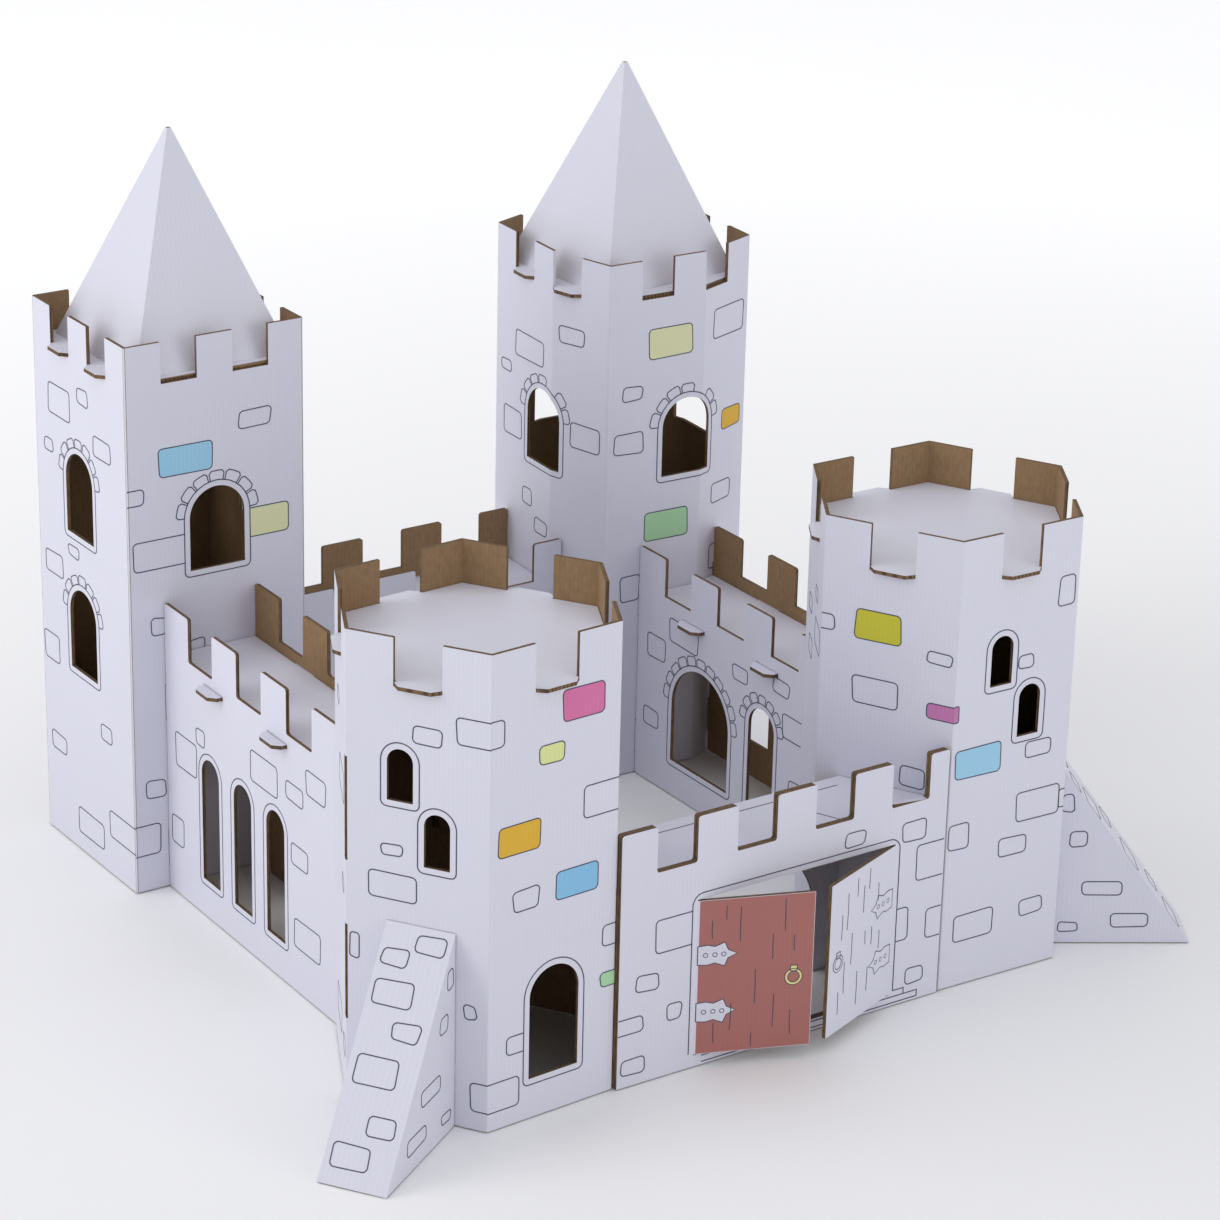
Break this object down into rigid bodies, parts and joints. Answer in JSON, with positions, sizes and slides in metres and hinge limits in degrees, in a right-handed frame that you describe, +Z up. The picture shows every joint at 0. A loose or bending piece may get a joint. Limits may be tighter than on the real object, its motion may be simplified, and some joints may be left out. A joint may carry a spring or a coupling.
{
  "type": "toy castle",
  "caption": "Play castle of slotted and folded printed card: square and hexagonal towers, battlemented wings with walkways, pyramid roofs, buttresses and an open double gate",
  "frame": {"origin": "on the ground under the gate, midway between the two front towers and midway through the gate wall's thickness", "axes": "+X to the right along the gate wall, which is the longest side; +Y from the gate to the back wing; +Z up, the shortest side"},
  "size_m": [0.4287, 0.3656, 0.323],
  "materials": {
    "printed_board": "matte white printed liner over fine kraft flute"
  },
  "bodies": {
    "root": {"buttress_left": "printed_board", "buttress_right": "printed_board", "deck_front_left": "printed_board", "deck_front_right": "printed_board", "roof_back_left": "printed_board", "roof_back_right": "printed_board", "roof_base_back_left": "printed_board", "roof_base_back_right": "printed_board", "tower_back_left": "printed_board", "tower_back_right": "printed_board", "tower_front_left": "printed_board", "tower_front_right": "printed_board", "walkway_back": "printed_board", "walkway_gate": "printed_board", "walkway_left": "printed_board", "walkway_right": "printed_board", "wall_back_inner": "printed_board", "wall_back_outer": "printed_board", "wall_gate": "printed_board", "wall_left_inner": "printed_board", "wall_left_outer": "printed_board", "wall_right_inner": "printed_board", "wall_right_outer": "printed_board"}
  },
  "joints": []
}
